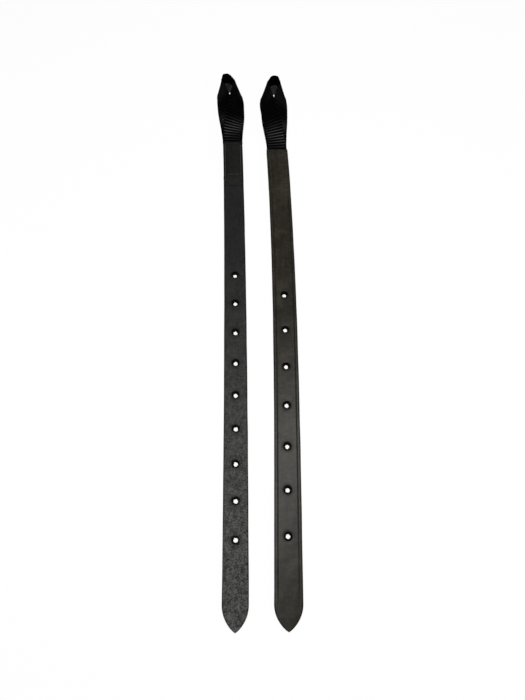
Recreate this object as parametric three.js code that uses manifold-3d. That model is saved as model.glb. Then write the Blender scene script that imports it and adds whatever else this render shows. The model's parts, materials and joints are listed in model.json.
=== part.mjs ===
// A pair of leather straps. Each is punched with a row of buckle holes and ends in a webbing loop.
// Millimetres. +Z is up, +Y runs from the pointed tips to the loops, and the pair lies on Z = 0.
import * as THREE from 'three';
import { mergeVertices } from 'three/addons/utils/BufferGeometryUtils.js';
import Module from 'manifold-3d';

const wasm = await Module();
wasm.setup();

// Left strap, which lies flesh side up
const LEFT_LENGTH = 492;
const LEFT_WIDTH = 22;
const LEFT_HOLE_COUNT = 9;
const LEFT_HOLE_PITCH = 31.75;
const LEFT_TIP_TO_HOLE = 69.3;
const LEFT_TIP_SWAY = 12.1;
const LEFT_SWAY_SHARES = [0, 0.556, 0.809, 1];
const LEFT_TAPE_WIDTH = 22.5;
const LEFT_LOOP_REACH = 85;
const LEFT_LOOP_BULGE = 9;
const LEFT_LOOP_LEAN = -4.9;
const LEFT_LOOP_PINCH_DEGREES = 0;

// Right strap, which lies grain side up
const RIGHT_LENGTH = 481.3;
const RIGHT_WIDTH = 23.7;
const RIGHT_HOLE_COUNT = 7;
const RIGHT_HOLE_PITCH = 38.1;
const RIGHT_TIP_TO_HOLE = 71.6;
const RIGHT_TIP_SWAY = 4.8;
const RIGHT_SWAY_SHARES = [0, 1.77, 1.315, 1];
const RIGHT_TAPE_WIDTH = 22.5;
const RIGHT_LOOP_REACH = 92;
const RIGHT_LOOP_BULGE = 9;
const RIGHT_LOOP_LEAN = 3;
const RIGHT_LOOP_PINCH_DEGREES = 3.5;

// How the pair lies
const MOUTH_SPACING = 50;
const MOUTH_STAGGER = 10;

// Leather
const LEATHER_THICK = 4;
const SKIVED_THICK = 2.4;
const PATCH_THICK = 1.8;
const PATCH_END_THICK = 0.6;
const EDGE_ROUND = 0.7;
const POINT_LENGTH = 20;
const POINT_FULLNESS = 0.8;
const TIP_BLUNT = 0.14;
const HOLE_DIAMETER = 6.4;
const HOLE_RIM = 0.5;

// Sewn end
const SEWN_LENGTH = 58;
const TAIL_SHORT = 12;
const RAMP_LENGTH = 20;
const PATCH_SKIVE = 10;
const PATCH_LAP = 4;
const PATCH_DROP_SHARE = 0.4;
const TAIL_GAP = 0.3;

// Webbing tape
const TAPE_THICK = 1.4;
const MOUTH_GAP = 0.3;
const FLOOR_GAP = 0.15;

// Leather liner inside the loop's turn
const LINER_WIDTH = 11;
const LINER_THICK = 1.2;
const LINER_GAP = 0.4;
const LINER_EDGE = 1.4;

// Thread
const THREAD_WIDE = 0.8;
const THREAD_HIGH = 0.4;
const NECK_SHARE = 0.4;
const SHOULDER_SHARE = 0.16;
const STITCH_PITCH = 4;
const STITCH_INSET = 2.7;
const STITCH_START = 3.5;
const GROOVE_WIDE = 1.2;
const GROOVE_DEEP = 0.6;
const THREAD_GAP = 0.1;
const CROSS_STITCH_COUNT = 5;
const CROSS_STITCH_INSET = 4.5;
const CROSS_STITCH_WAVE = 1.6;
const LINER_STITCH_INSET = 1.6;

// Steps and overruns
const STRAP_STEP = 16;
const POINT_STEPS = 12;
const RAMP_STEPS = 6;
const HOLE_SIDES = 20;
const LOOP_STEPS_PER_STATION = 4;
const LOOP_WIDTH_STEPS = 4;
const LINER_HALF_STEPS = 9;
const CUT_OVERRUN = 1;

// The loop's route, station by station from the mouth to the turn.
// Reach shares follow the loop's reach and bulge shares its bulge, on the leg that lies on top.
const REACH_SHARES = [0, 0.05, 0.2, 0.4, 0.6, 0.72, 0.82, 0.9, 0.965, 1];
const UPPER_BULGE_SHARES = [0, 0, 0.14, 0.46, 0.87, 1.07, 1.21, 1.33, 0.76, 0];
const LOWER_BULGE_SHARES = [0, 0, 0.1, 0.28, 0.55, 0.77, 0.9, 1.04, 0.6, 0];
// The tape lies face up at the mouth and is turned up on edge along the leg.
const UPPER_TILT_DEGREES = [0, 0, 5, 17, 43, 51, 59, 72, 86, 111];
const LOWER_TILT_DEGREES = [0, 0, 0, 6, 28, 48, 59, 72, 86, 111];
// Where a loop is pinched nearly shut, both legs lean in by so many degrees more.
const PINCH_SHARES = [0, 0, 0, 0, 0, 1, 1, 0, 0, 0];
// Height of the upper leg over the lower one, in tape thicknesses, and of both over the floor.
const LIFT_SHARES = [1.21, 1.5, 2.5, 3.3, 3, 2, 0.7, 0.1, 0, 0];
const RIDE_SHARES = [1, 0.97, 0.55, 0.1, 0, 0, 0, 0, 0, 0];

const GRAIN_LEATHER = { color: 0x4d4a44, roughness: 0.5, metalness: 0 };
const FLESH_LEATHER = { color: 0x404042, roughness: 0.85, metalness: 0 };
const PATCH_LEATHER = { color: 0x2c2c2a, roughness: 0.6, metalness: 0 };
const LINER_LEATHER = { color: 0x3a3935, roughness: 0.7, metalness: 0 };
const WEBBING = { color: 0x18181a, roughness: 0.6, metalness: 0 };
const THREAD = { color: 0x141414, roughness: 0.7, metalness: 0 };

// Sums of the sewn layers, and the length of tape sewn in, which ends short of the patch
const TAPE_STACK = TAPE_THICK + TAPE_THICK;
const SEWN_HEIGHT = SKIVED_THICK + TAPE_STACK + PATCH_THICK;
const TAIL_LENGTH = SEWN_LENGTH - TAIL_SHORT;

function mesh(name, geometry, material) {
  const piece = new THREE.Mesh(geometry, new THREE.MeshStandardMaterial(material));
  piece.name = name;
  return piece;
}

// A closed skin over rings of equal point count, with a fan over the first and the last ring.
function loft(rings) {
  const count = rings[0].length;
  const points = rings.flat();
  const faces = [];
  for (let ring = 0; ring + 1 < rings.length; ring += 1) {
    for (let side = 0; side < count; side += 1) {
      const a = ring * count + side;
      const b = ring * count + (side + 1) % count;
      faces.push(a, b, b + count, a, b + count, a + count);
    }
  }
  const last = (rings.length - 1) * count;
  for (let side = 1; side + 1 < count; side += 1) {
    faces.push(0, side + 1, side);
    faces.push(last, last + side, last + side + 1);
  }
  const geometry = new THREE.BufferGeometry().setFromPoints(points);
  geometry.setIndex(faces);
  geometry.computeVertexNormals();
  return geometry;
}

function toSolid(geometry) {
  const bare = geometry.clone();
  bare.deleteAttribute('normal');
  bare.deleteAttribute('uv');
  const merged = mergeVertices(bare);
  return new wasm.Manifold(new wasm.Mesh({
    numProp: 3,
    vertProperties: merged.getAttribute('position').array,
    triVerts: new Uint32Array(merged.getIndex().array),
  }));
}

function fromSolid(solid) {
  const cut = solid.getMesh();
  const geometry = new THREE.BufferGeometry();
  geometry.setAttribute('position', new THREE.BufferAttribute(cut.vertProperties, 3));
  geometry.setIndex(new THREE.BufferAttribute(cut.triVerts, 1));
  geometry.computeVertexNormals();
  return geometry;
}

function cutAll(geometry, cutters) {
  let solid = toSolid(geometry);
  for (const cutter of cutters) {
    solid = solid.subtract(toSolid(cutter));
  }
  return fromSolid(solid);
}

// Eased step from 0 to 1, flat at both ends
function ease(share) {
  const inside = THREE.MathUtils.clamp(share, 0, 1);
  return inside * inside * (3 - 2 * inside);
}

// Sideways place of the strap's centre line, which curves gently between its two ends.
// along is 0 at the mouth and negative towards the tip, and past the mouth the line runs on straight.
function swayAt(strap, along) {
  const [a, b, c, d] = strap.swayShares;
  const t = Math.min(-along / strap.length, 1);
  if (t < 0) {
    return 3 * (b - a) * t * strap.tipSway;
  }
  const u = 1 - t;
  return (u * u * u * a + 3 * u * u * t * b + 3 * u * t * t * c + t * t * t * d) * strap.tipSway;
}

// Full width over the body and an ogive over the point
function widthAt(strap, along) {
  const fromTip = (strap.length + along) / POINT_LENGTH;
  if (fromTip >= 1) {
    return strap.width;
  }
  const rest = 1 - fromTip;
  return strap.width * Math.pow(1 - rest * rest, POINT_FULLNESS);
}

// One cross-section of a flat strap, with its four long edges rounded off
function strapRing(strap, along, width, low, high) {
  const middle = swayAt(strap, along);
  const half = width / 2;
  const round = Math.min(EDGE_ROUND, half / 2, (high - low) / 3);
  const outline = [
    [-half + round, low],
    [half - round, low],
    [half, low + round],
    [half, high - round],
    [half - round, high],
    [-half + round, high],
    [-half, high - round],
    [-half, low + round],
  ];
  return outline.map(([across, height]) => new THREE.Vector3(middle + across, along, height));
}

// Places along the strap, from start down to end, no further apart than one step
function placesBetween(start, end, step) {
  const count = Math.max(1, Math.ceil((start - end) / step));
  const places = [];
  for (let index = 0; index < count; index += 1) {
    places.push(start + (end - start) * index / count);
  }
  return places;
}

// Underside and upper side of the main leather: skived under the tape, or lifted over it
function leatherHeights(strap, along) {
  const full = ease((-along - TAIL_LENGTH) / RAMP_LENGTH);
  const thick = THREE.MathUtils.lerp(SKIVED_THICK, LEATHER_THICK, full);
  const low = strap.patchOnTop ? 0 : (PATCH_THICK + TAPE_STACK) * (1 - full);
  return [low, low + thick];
}

function holePlaces(strap) {
  const places = [];
  for (let index = 0; index < strap.holeCount; index += 1) {
    places.push(strap.tipToHole - strap.length + index * strap.holePitch);
  }
  return places;
}

// A punch: straight through, and wider at both faces, where the rim is pressed in
function holeCutter(strap, along) {
  const radius = HOLE_DIAMETER / 2;
  const wide = radius + HOLE_RIM + CUT_OVERRUN;
  const profile = [
    [0, -CUT_OVERRUN],
    [wide, -CUT_OVERRUN],
    [radius, HOLE_RIM],
    [radius, LEATHER_THICK - HOLE_RIM],
    [wide, LEATHER_THICK + CUT_OVERRUN],
    [0, LEATHER_THICK + CUT_OVERRUN],
  ].map(([across, height]) => new THREE.Vector2(across, height));
  const cutter = new THREE.LatheGeometry(profile, HOLE_SIDES);
  cutter.rotateX(Math.PI / 2);
  cutter.translate(swayAt(strap, along), along, 0);
  return cutter;
}

// The groove that one row of stitches lies in, on an upper face or on an underside
function grooveCutter(strap, across, face, up) {
  const low = up ? face - GROOVE_DEEP : face - CUT_OVERRUN;
  const high = up ? face + CUT_OVERRUN : face + GROOVE_DEEP;
  const end = -SEWN_LENGTH + PATCH_SKIVE / 2;
  const places = [...placesBetween(CUT_OVERRUN, end, STRAP_STEP), end];
  const rings = places.map((along) => {
    const middle = swayAt(strap, along) + across;
    const left = middle - GROOVE_WIDE / 2;
    const right = middle + GROOVE_WIDE / 2;
    return [
      new THREE.Vector3(left, along, low),
      new THREE.Vector3(right, along, low),
      new THREE.Vector3(right, along, high),
      new THREE.Vector3(left, along, high),
    ];
  });
  return loft(rings);
}

function stitchRows(strap) {
  const across = strap.width / 2 - STITCH_INSET;
  return [-across, across];
}

// Faces that the two stitch rows show on: the outer face of the patch and of the main leather
function stitchFaces() {
  return [
    { height: 0, up: false },
    { height: SEWN_HEIGHT, up: true },
  ];
}

function strapLeather(strap) {
  const rampEnd = -TAIL_LENGTH - RAMP_LENGTH;
  const places = [
    0,
    ...placesBetween(-TAIL_LENGTH, rampEnd, RAMP_LENGTH / RAMP_STEPS),
    ...placesBetween(rampEnd, -strap.length + POINT_LENGTH, STRAP_STEP),
    ...placesBetween(-strap.length + POINT_LENGTH, -strap.length, POINT_LENGTH / POINT_STEPS),
  ];
  places.push(-strap.length + TIP_BLUNT);
  const rings = places.map((along) => {
    const [low, high] = leatherHeights(strap, along);
    return strapRing(strap, along, widthAt(strap, along), low, high);
  });
  const cutters = holePlaces(strap).map((along) => holeCutter(strap, along));
  const face = strap.patchOnTop ? stitchFaces()[0] : stitchFaces()[1];
  for (const across of stitchRows(strap)) {
    cutters.push(grooveCutter(strap, across, face.height, face.up));
  }
  return cutAll(loft(rings), cutters);
}

// The short patch that covers the tape's tails, skived thin where it ends
function backingPatch(strap) {
  const skive = -SEWN_LENGTH + PATCH_SKIVE;
  const lap = -SEWN_LENGTH + PATCH_LAP;
  const over = SKIVED_THICK + TAPE_STACK;
  const profile = strap.patchOnTop
    ? [
      [0, over, SEWN_HEIGHT],
      [-TAIL_LENGTH, over, SEWN_HEIGHT],
      [skive, THREE.MathUtils.lerp(over, LEATHER_THICK, PATCH_DROP_SHARE), SEWN_HEIGHT],
      [lap, LEATHER_THICK, LEATHER_THICK + PATCH_THICK],
      [-SEWN_LENGTH, LEATHER_THICK, LEATHER_THICK + PATCH_END_THICK],
    ]
    : [
      [0, 0, PATCH_THICK],
      [skive, 0, PATCH_THICK],
      [-SEWN_LENGTH, 0, PATCH_END_THICK],
    ];
  const rings = profile.map(([along, low, high]) => strapRing(strap, along, strap.width, low, high));
  const face = strap.patchOnTop ? stitchFaces()[1] : stitchFaces()[0];
  const cutters = stitchRows(strap).map((across) => grooveCutter(strap, across, face.height, face.up));
  return cutAll(loft(rings), cutters);
}

// Height of the tape's underside where it is sewn in
function tapeBase(strap) {
  return strap.patchOnTop ? SKIVED_THICK : PATCH_THICK;
}

// One end of the tape, sewn in between the leather and the patch; the upper one lies on the lower
function tapeTail(strap, layer) {
  const width = Math.min(strap.tapeWidth, strap.width) - 2 * EDGE_ROUND;
  const end = -TAIL_LENGTH + TAIL_GAP;
  const places = [...placesBetween(0, end, STRAP_STEP), end];
  const low = tapeBase(strap) + layer * TAPE_THICK;
  const rings = places.map((along) => strapRing(strap, along, width, low, low + TAPE_THICK));
  return loft(rings);
}

// Stations of the whole loop: out along the upper leg, round the turn, back along the lower leg
function loopCurves(strap) {
  const places = [];
  const settings = [];
  const addStation = (index, side, bulgeShares, tilts, lift) => {
    const across = side * bulgeShares[index] * strap.bulge;
    const along = MOUTH_GAP + REACH_SHARES[index] * (strap.reach - MOUTH_GAP);
    const ride = RIDE_SHARES[index] * tapeBase(strap);
    const tilt = tilts[index] - PINCH_SHARES[index] * strap.pinchDegrees;
    places.push(new THREE.Vector3(across, along, 0));
    settings.push(new THREE.Vector3(tilt, lift + ride, 0));
  };
  const turn = REACH_SHARES.length - 1;
  for (let index = 0; index <= turn; index += 1) {
    addStation(index, 1, UPPER_BULGE_SHARES, UPPER_TILT_DEGREES, LIFT_SHARES[index] * TAPE_THICK);
  }
  for (let index = turn - 1; index >= 0; index -= 1) {
    addStation(index, -1, LOWER_BULGE_SHARES, LOWER_TILT_DEGREES, 0);
  }
  return {
    path: new THREE.CatmullRomCurve3(places, false, 'centripetal'),
    setting: new THREE.CatmullRomCurve3(settings, false, 'centripetal'),
    stations: places.length - 1,
  };
}

// Where the tape is at one share of its route: its centre, and the directions along it,
// across it towards its raised edge, and out of its outer face
function loopFrame(strap, curves, share) {
  const centre = curves.path.getPoint(share);
  const along = curves.path.getTangent(share);
  const setting = curves.setting.getPoint(share);
  const tilt = THREE.MathUtils.degToRad(setting.x);
  const inward = new THREE.Vector3(-along.y, along.x, 0);
  const up = new THREE.Vector3(0, 0, 1);
  const across = inward.clone().multiplyScalar(Math.cos(tilt)).addScaledVector(up, Math.sin(tilt));
  const out = inward.clone().multiplyScalar(-Math.sin(tilt)).addScaledVector(up, Math.cos(tilt));
  const standing = Math.abs(Math.sin(tilt)) * strap.tapeWidth / 2;
  centre.z = FLOOR_GAP + standing + Math.abs(Math.cos(tilt)) * TAPE_THICK / 2 + setting.y;
  return { centre, along, across, out };
}

// A point of the loop, mirrored for the other strap, with the strap's own sway and the loop's lean
function loopPoint(strap, frame, across, out) {
  const point = frame.centre.clone();
  point.addScaledVector(frame.across, across);
  point.addScaledVector(frame.out, out);
  const reached = Math.max(point.y - MOUTH_GAP, 0) / strap.reach;
  point.x = strap.side * point.x + swayAt(strap, point.y) + strap.lean * reached * reached;
  return point;
}

// One cross-section of a tape or strip that follows the loop, with rounded long edges. Its two
// faces are divided across, because the strip is twisted.
function loopRing(strap, frame, width, thick, across, out) {
  const half = width / 2;
  const flat = thick / 2;
  const inset = half - flat / 2;
  const under = [];
  const over = [];
  for (let step = 0; step <= LOOP_WIDTH_STEPS; step += 1) {
    const place = inset * (2 * step / LOOP_WIDTH_STEPS - 1);
    under.push([place, -flat]);
    over.push([-place, flat]);
  }
  const outline = [
    [-half, -flat / 2],
    ...under,
    [half, -flat / 2],
    [half, flat / 2],
    ...over,
    [-half, flat / 2],
  ];
  const ring = outline.map(([a, o]) => loopPoint(strap, frame, across + a, out + o));
  return strap.side > 0 ? ring : ring.reverse();
}

// How many steps the whole loop is drawn in
function loopSteps(curves) {
  return curves.stations * LOOP_STEPS_PER_STATION;
}

// A strip that follows the loop from one of its steps to another
function loopStrip(strap, first, last, width, thick, across, out) {
  const curves = loopCurves(strap);
  const rings = [];
  for (let step = first; step <= last; step += 1) {
    const frame = loopFrame(strap, curves, step / loopSteps(curves));
    rings.push(loopRing(strap, frame, width, thick, across, out));
  }
  return loft(rings);
}

function webbingLoop(strap) {
  return loopStrip(strap, 0, loopSteps(loopCurves(strap)), strap.tapeWidth, TAPE_THICK, 0, 0);
}

// Where the liner lies: its first and last step, how low on the tape, and how far inside it
function linerPlace(strap) {
  const turn = loopSteps(loopCurves(strap)) / 2;
  return {
    first: turn - LINER_HALF_STEPS,
    last: turn + LINER_HALF_STEPS,
    across: LINER_EDGE + (LINER_WIDTH - strap.tapeWidth) / 2,
    out: -(TAPE_THICK + LINER_THICK) / 2 - LINER_GAP,
  };
}

function loopLiner(strap) {
  const place = linerPlace(strap);
  return loopStrip(strap, place.first, place.last, LINER_WIDTH, LINER_THICK, place.across, place.out);
}

// One row of stitches as a single thread. It lies full on the face along each stitch and is
// drawn thin and low into the needle hole between two stitches. frameAt(n) is its place and
// directions at the n-th needle hole.
function sewnRow(count, frameAt) {
  const rings = [];
  const addRing = (place, wide, high, sunk) => {
    const { centre, across, out } = frameAt(place);
    const outline = [[-wide, -high], [wide, -high], [wide, high], [-wide, high]];
    rings.push(outline.map(([a, o]) => centre.clone()
      .addScaledVector(across, a)
      .addScaledVector(out, o - sunk)));
  };
  const thin = THREAD_WIDE * NECK_SHARE / 2;
  const low = THREAD_HIGH * NECK_SHARE / 2;
  for (let index = 0; index < count; index += 1) {
    addRing(index, thin, low, low);
    addRing(index + SHOULDER_SHARE, THREAD_WIDE / 2, THREAD_HIGH / 2, 0);
    addRing(index + 1 - SHOULDER_SHARE, THREAD_WIDE / 2, THREAD_HIGH / 2, 0);
  }
  addRing(count, thin, low, low);
  return loft(rings);
}

// The thread that shows on one face along one edge of the sewn stretch
function sideThread(strap, face, across) {
  const count = Math.floor((SEWN_LENGTH - PATCH_SKIVE / 2 - STITCH_START) / STITCH_PITCH);
  const depth = THREAD_GAP + THREAD_HIGH / 2;
  const height = face.up ? face.height - depth : face.height + depth;
  const turned = face.up ? 1 : -1;
  return sewnRow(count, (place) => {
    const along = -STITCH_START - place * STITCH_PITCH;
    return {
      centre: new THREE.Vector3(swayAt(strap, along) + across, along, height),
      across: new THREE.Vector3(turned, 0, 0),
      out: new THREE.Vector3(0, 0, turned),
    };
  });
}

// A wavy row across the patch, just before its skived end
function crossThread(strap) {
  const between = strap.width - 4 * STITCH_INSET;
  const height = SEWN_HEIGHT + THREAD_GAP + THREAD_HIGH / 2;
  return sewnRow(CROSS_STITCH_COUNT, (place) => {
    const wave = Math.abs(place % 2 - 1) - 1 / 2;
    const along = -SEWN_LENGTH + PATCH_SKIVE + CROSS_STITCH_INSET + wave * CROSS_STITCH_WAVE;
    const across = between * (1 / 2 - place / CROSS_STITCH_COUNT);
    return {
      centre: new THREE.Vector3(swayAt(strap, along) + across, along, height),
      across: new THREE.Vector3(0, -1, 0),
      out: new THREE.Vector3(0, 0, 1),
    };
  });
}

// A row along one long edge of the liner, on its inner face
function linerThread(strap, edge) {
  const curves = loopCurves(strap);
  const place = linerPlace(strap);
  const across = place.across + edge * (LINER_WIDTH / 2 - LINER_STITCH_INSET);
  const out = place.out - LINER_THICK / 2 - LINER_GAP - THREAD_HIGH / 2;
  const count = place.last - place.first - 2;
  return sewnRow(count, (needle) => {
    const frame = loopFrame(strap, curves, (place.first + 1 + needle) / loopSteps(curves));
    const mirror = new THREE.Vector3(strap.side, 1, 1);
    return {
      centre: loopPoint(strap, frame, across, out),
      across: frame.across.clone().multiply(mirror).multiplyScalar(-strap.side),
      out: frame.out.clone().multiply(mirror).negate(),
    };
  });
}

function makeStrap(strap) {
  const group = new THREE.Group();
  const name = strap.name;
  const leather = strap.patchOnTop ? FLESH_LEATHER : GRAIN_LEATHER;
  group.add(mesh(`${name}_strap_leather`, strapLeather(strap), leather));
  group.add(mesh(`${name}_backing_patch`, backingPatch(strap), PATCH_LEATHER));
  group.add(mesh(`${name}_webbing_lower_tail`, tapeTail(strap, 0), WEBBING));
  group.add(mesh(`${name}_webbing_upper_tail`, tapeTail(strap, 1), WEBBING));
  for (const face of stitchFaces()) {
    for (const across of stitchRows(strap)) {
      const row = `${face.up ? 'top' : 'bottom'}_${across * strap.side > 0 ? 'inner' : 'outer'}`;
      group.add(mesh(`${name}_${row}_thread`, sideThread(strap, face, across), THREAD));
    }
  }
  if (strap.patchOnTop) {
    group.add(mesh(`${name}_cross_thread`, crossThread(strap), THREAD));
  }
  group.add(mesh(`${name}_webbing_loop`, webbingLoop(strap), WEBBING));
  group.add(mesh(`${name}_loop_liner`, loopLiner(strap), LINER_LEATHER));
  group.add(mesh(`${name}_liner_lower_thread`, linerThread(strap, -1), THREAD));
  group.add(mesh(`${name}_liner_upper_thread`, linerThread(strap, 1), THREAD));
  group.position.set(strap.placeX, strap.placeY, 0);
  return group;
}

const LEFT = {
  name: 'left',
  side: 1,
  patchOnTop: true,
  length: LEFT_LENGTH,
  width: LEFT_WIDTH,
  holeCount: LEFT_HOLE_COUNT,
  holePitch: LEFT_HOLE_PITCH,
  tipToHole: LEFT_TIP_TO_HOLE,
  tipSway: LEFT_TIP_SWAY,
  swayShares: LEFT_SWAY_SHARES,
  tapeWidth: LEFT_TAPE_WIDTH,
  reach: LEFT_LOOP_REACH,
  bulge: LEFT_LOOP_BULGE,
  lean: LEFT_LOOP_LEAN,
  pinchDegrees: LEFT_LOOP_PINCH_DEGREES,
  placeX: -MOUTH_SPACING / 2,
  placeY: 0,
};

const RIGHT = {
  name: 'right',
  side: -1,
  patchOnTop: false,
  length: RIGHT_LENGTH,
  width: RIGHT_WIDTH,
  holeCount: RIGHT_HOLE_COUNT,
  holePitch: RIGHT_HOLE_PITCH,
  tipToHole: RIGHT_TIP_TO_HOLE,
  tipSway: RIGHT_TIP_SWAY,
  swayShares: RIGHT_SWAY_SHARES,
  tapeWidth: RIGHT_TAPE_WIDTH,
  reach: RIGHT_LOOP_REACH,
  bulge: RIGHT_LOOP_BULGE,
  lean: RIGHT_LOOP_LEAN,
  pinchDegrees: RIGHT_LOOP_PINCH_DEGREES,
  placeX: MOUTH_SPACING / 2,
  placeY: -MOUTH_STAGGER,
};

const pair = new THREE.Group();
pair.add(makeStrap(LEFT));
pair.add(makeStrap(RIGHT));

// The origin is the middle of the pair, on the surface that it lies on.
const extent = new THREE.Box3().setFromObject(pair);
const middle = extent.getCenter(new THREE.Vector3());
pair.position.set(-middle.x, -middle.y, -extent.min.z);

export default pair;
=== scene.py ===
"""A pair of black leather straps with twisted webbing loops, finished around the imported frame."""
import json

import bmesh
import bpy
import numpy as np
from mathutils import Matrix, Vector


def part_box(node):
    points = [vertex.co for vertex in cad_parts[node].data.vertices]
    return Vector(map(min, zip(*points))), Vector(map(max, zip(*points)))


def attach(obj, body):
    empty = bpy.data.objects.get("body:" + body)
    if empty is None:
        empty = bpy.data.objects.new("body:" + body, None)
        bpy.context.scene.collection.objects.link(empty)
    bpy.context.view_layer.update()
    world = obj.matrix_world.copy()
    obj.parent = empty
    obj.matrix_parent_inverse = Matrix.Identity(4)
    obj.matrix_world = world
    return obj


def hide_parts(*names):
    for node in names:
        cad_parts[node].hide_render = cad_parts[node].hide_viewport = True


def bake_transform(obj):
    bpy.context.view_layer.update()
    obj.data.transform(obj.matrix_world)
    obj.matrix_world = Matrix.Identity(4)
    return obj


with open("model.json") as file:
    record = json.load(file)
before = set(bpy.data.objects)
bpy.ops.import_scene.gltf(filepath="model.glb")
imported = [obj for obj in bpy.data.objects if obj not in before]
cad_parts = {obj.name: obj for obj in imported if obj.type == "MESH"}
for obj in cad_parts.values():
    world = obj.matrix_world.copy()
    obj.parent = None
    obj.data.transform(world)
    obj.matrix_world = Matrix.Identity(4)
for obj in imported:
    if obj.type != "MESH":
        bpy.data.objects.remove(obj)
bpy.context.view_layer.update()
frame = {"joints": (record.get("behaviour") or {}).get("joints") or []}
JOINTS = {joint["name"]: joint for joint in frame["joints"]}

MM = 0.001

# Leather
LEATHER_THICK = 4 * MM
SKIVED_THICK = 2.4 * MM
PATCH_THICK = 1.8 * MM
PATCH_END_THICK = 0.25 * MM
POINT_LENGTH = 20 * MM
POINT_FULLNESS = 0.8
TIP_BLUNT_SHARE = 0.012
EDGE_DOME = 1.0 * MM
DOME_POWER = 0.8
EDGE_WANDER = 0.12 * MM
WANDER_LENGTH = 34 * MM
CROWN = 0.12 * MM
STRAP_UNEVENNESS = 0.035 * MM
STRAP_WAVE_LENGTH = 9 * MM
PATCH_UNEVENNESS = 0.03 * MM
PATCH_WAVE_LENGTH = 11 * MM
BURNISH_WIDTH = 1.5 * MM

# Pressed crease lines, which stop short of the sewn end
CREASE_INSET = 3.1 * MM
CREASE_DEPTH = 0.3 * MM
CREASE_HALF = 0.4 * MM
CREASE_STOP = 4 * MM
CREASE_FADE = 6 * MM

# Buckle holes
HOLE_RADIUS = 3.1 * MM
HOLE_CLOSING = 1.25 * MM
HOLE_FRAY = 0.24 * MM
FRAY_SIZE = 2.6 * MM
RIM_ROUND = 0.8 * MM
RIM_SHADE_WIDTH = 4.5 * MM
RAW_WALL_MARGIN = 0.05 * MM
RAW_WALL_FADE = 0.8 * MM
DISH_DEPTH = 0.2 * MM
DISH_REACH = 1.2 * MM
HOLE_CELL = 5.2 * MM

# Sewn end
SEWN_LENGTH = 58 * MM
TAIL_LENGTH = 46 * MM
THICKEN_LENGTH = 8 * MM
RAMP_LENGTH = 62 * MM
PATCH_SKIVE = 10 * MM
PATCH_SOFTENING = 5 * MM
TUCK = 1 * MM
STITCH_START = 3.5 * MM
STITCH_PITCH = 4 * MM
STITCH_WANDER = 0.16 * MM
GROOVE_HALF = 0.62 * MM
GROOVE_DEEP = 0.5 * MM
NEEDLE_DEEP = 0.5 * MM
NEEDLE_HALF_SHARE = 0.13
CROSS_STITCHES = 5
CROSS_INSET = 4.5 * MM
CROSS_WAVE = 1.6 * MM

# Sewing thread, and its height over the face along a stitch and at a needle hole
THREAD_RADIUS = 0.42 * MM
THREAD_FLATNESS = 0.8
TWIST_LENGTH = 1.5 * MM
TOP_STITCH_HEIGHTS = (-0.05 * MM, -1.25 * MM)
UNDER_STITCH_HEIGHTS = (-0.42 * MM, -1.25 * MM)
CROSS_STITCH_HEIGHTS = (0.08 * MM, -0.9 * MM)
LINER_STITCH_HEIGHTS = (0.12 * MM, -0.7 * MM)

# Webbing tape
TAPE_THICK = 1.4 * MM
SELVEDGE = 0.7 * MM
SELVEDGE_DRAW_SHARE = 0.01
TAIL_INSET = 1.4 * MM
WIDENING_BEFORE_MOUTH = 5 * MM
WIDENING_LENGTH = 7 * MM
MOUTH_GAP = 0.3 * MM
FLOOR_GAP = 0.15 * MM
RIB_PITCH = 3.45 * MM
RIB_DEPTH = 0.4 * MM
YARN_PITCH = 0.42 * MM
ROUTE_SOFTENING = 1.3 * MM

# Where hands have polished the tape: a band across each leg and one before the turn
UPPER_BAND_AT = 21 * MM
LOWER_BAND_AT = 34 * MM
BAND_HALF = 11 * MM
BAND_SLANT = 6 * MM
LOWER_BAND_STRENGTH = 2.4
TURN_BAND_STRENGTH = 0.9
TURN_BAND_START = 60 * MM
TURN_BAND_RISE = 10 * MM
TURN_BAND_END = 86 * MM
TURN_BAND_FALL = 12 * MM

# Leather liner in the loop's turn
LINER_WIDTH = 11 * MM
LINER_THICK = 1.2 * MM
LINER_GAP = 0.12 * MM
LINER_EDGE = 1.4 * MM
LINER_ROUND = 0.45 * MM
LINER_TAPER = 3 * MM
LINER_END_SHARE = 0.45
LINER_FLESH_SHARE = 0.35
LINER_HALF_STATIONS = 2.25
LINER_STITCH_INSET = 1.6 * MM
LINER_STITCH_START = 1.4 * MM
LINER_STITCH_PITCH = 2.4 * MM
LINER_GROOVE_HALF = 0.5 * MM
LINER_GROOVE_DEEP = 0.16 * MM

# Sizes of the patterns in the finishes
# Painted light on the leather grows from the first distance from the mouth to full at the second.
TIP_LIGHT_START = 60 * MM
TIP_LIGHT_END = 480 * MM
CLOUD_SIZE = 16 * MM
STREAK_SIZE = 2.6 * MM
WRINKLE_SIZE = 2.2 * MM
NAP_SIZE = 1.1 * MM
TUFT_SIZE = 3.6 * MM
PORE_SPACING = 0.55 * MM
WEBBING_CLOUD_SIZE = 7 * MM
YARN_FIBRE_SIZE = 0.5 * MM
THREAD_FIBRE_SIZE = 0.3 * MM

# Fineness of the meshes
HOLE_CELL_STEP = HOLE_CELL / 6
EDGE_BAND = 4.6 * MM
EDGE_BAND_STEP = 0.22 * MM
FACE_STEP = 0.7 * MM
DOME_STEPS = 7
POINT_ROWS = 26
PLAIN_STEP = 2 * MM
SEWN_STEP = 0.5 * MM
SEWN_STEPS_PAST = 10 * MM
ROUTE_STEPS = 1600
ROUTE_TABLE_STEPS = 4000
RIB_STEPS = 12
FACE_COLUMNS = 17
LINER_STEP = 0.35 * MM
THREAD_SIDES = 10
STITCH_STEPS = 16
LINER_STITCH_STEPS = 14
MERGE_DISTANCE = 0.002 * MM
SHARP_DEGREES = 50

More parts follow.
